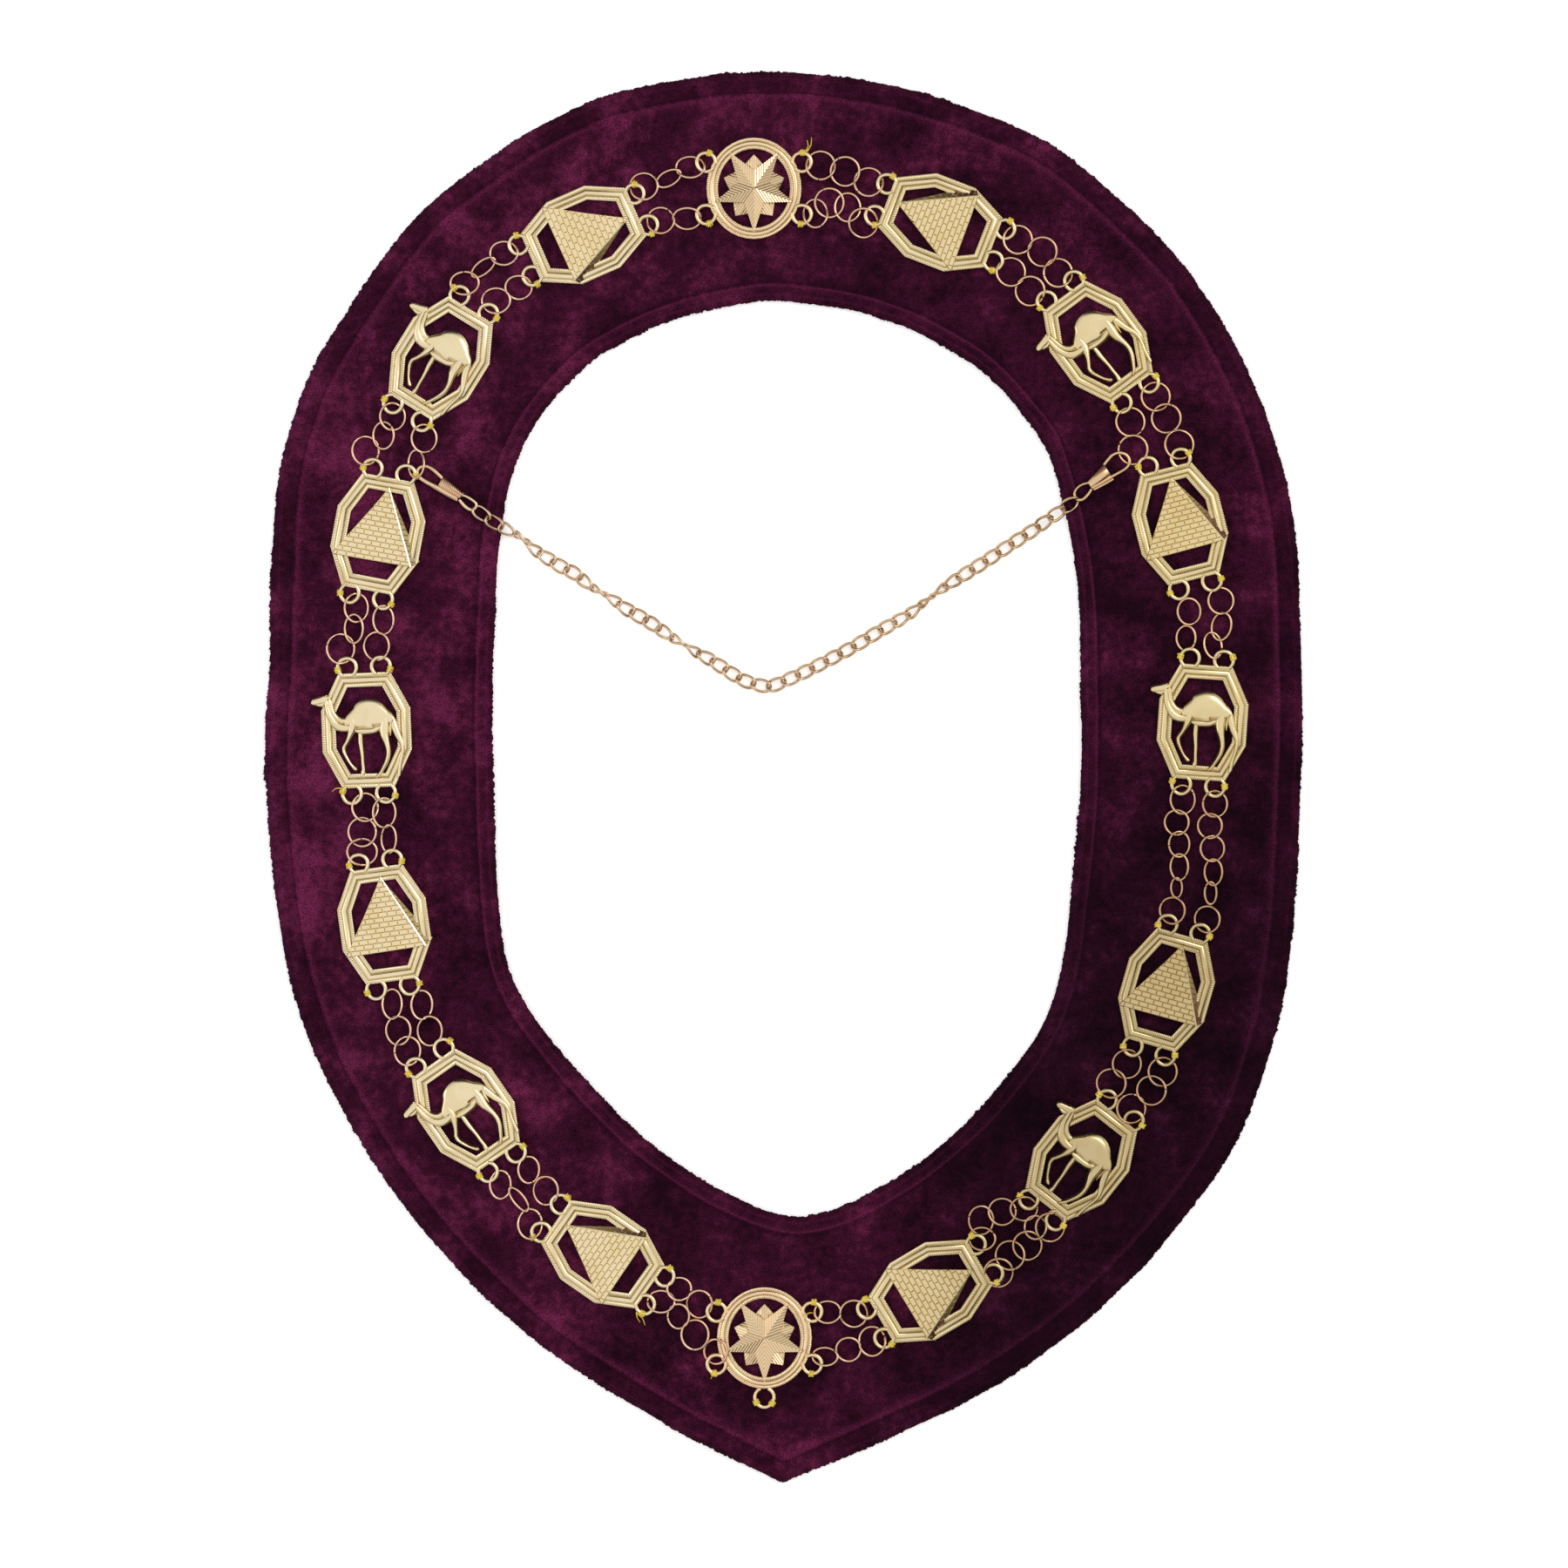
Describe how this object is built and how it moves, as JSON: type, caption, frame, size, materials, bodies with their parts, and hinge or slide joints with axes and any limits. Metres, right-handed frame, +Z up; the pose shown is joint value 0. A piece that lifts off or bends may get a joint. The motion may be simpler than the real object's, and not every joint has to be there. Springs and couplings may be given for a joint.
{
  "type": "fraternal chain collar",
  "caption": "Padded velvet neck collar carrying cast gilt octagonal and round medallions linked by strands of rings, with a curb chain across the neck and a loop for a hanging jewel.",
  "frame": {"origin": "centre of the collar's outline seen from above, on the surface that it lies on", "axes": "+Y from the collar's point to the nape, +X towards the wearer's left, +Z up out of the velvet's face"},
  "size_m": [0.4628, 0.63, 0.0076],
  "materials": {
    "velvet": "dark plum velvet with a mottled pile",
    "plate_gold": "pale yellow gilt casting, polished on the raised parts",
    "roundel_gold": "warmer rose gilt casting, polished on the raised parts",
    "ring_gold": "polished copper-gold wire",
    "hook_gold": "polished copper-gold wire and folded sheet",
    "chain_gold": "polished copper-gold twisted links"
  },
  "bodies": {
    "root": {"velvet_backing": "velvet", "star_roundel_top": "roundel_gold", "star_roundel_bottom": "roundel_gold", "pyramid_plate_1": "plate_gold", "pyramid_plate_2": "plate_gold", "pyramid_plate_3": "plate_gold", "pyramid_plate_4": "plate_gold", "pyramid_plate_5": "plate_gold", "pyramid_plate_6": "plate_gold", "pyramid_plate_7": "plate_gold", "pyramid_plate_8": "plate_gold", "camel_plate_1": "plate_gold", "camel_plate_2": "plate_gold", "camel_plate_3": "plate_gold", "camel_plate_4": "plate_gold", "camel_plate_5": "plate_gold", "camel_plate_6": "plate_gold", "ring_strand_01_outer": "ring_gold", "ring_strand_01_inner": "ring_gold", "ring_strand_02_outer": "ring_gold", "ring_strand_02_inner": "ring_gold", "ring_strand_03_outer": "ring_gold", "ring_strand_03_inner": "ring_gold", "ring_strand_04_outer": "ring_gold", "ring_strand_04_inner": "ring_gold", "ring_strand_05_outer": "ring_gold", "ring_strand_05_inner": "ring_gold", "ring_strand_06_outer": "ring_gold", "ring_strand_06_inner": "ring_gold", "ring_strand_07_outer": "ring_gold", "ring_strand_07_inner": "ring_gold", "ring_strand_08_outer": "ring_gold", "ring_strand_08_inner": "ring_gold", "ring_strand_09_outer": "ring_gold", "ring_strand_09_inner": "ring_gold", "ring_strand_10_outer": "ring_gold", "ring_strand_10_inner": "ring_gold", "ring_strand_11_outer": "ring_gold", "ring_strand_11_inner": "ring_gold", "ring_strand_12_outer": "ring_gold", "ring_strand_12_inner": "ring_gold", "ring_strand_13_outer": "ring_gold", "ring_strand_13_inner": "ring_gold", "ring_strand_14_outer": "ring_gold", "ring_strand_14_inner": "ring_gold", "ring_strand_15_outer": "ring_gold", "ring_strand_15_inner": "ring_gold", "ring_strand_16_outer": "ring_gold", "ring_strand_16_inner": "ring_gold", "snap_hook_right": "hook_gold", "snap_hook_left": "hook_gold", "curb_chain": "chain_gold"}
  },
  "joints": []
}
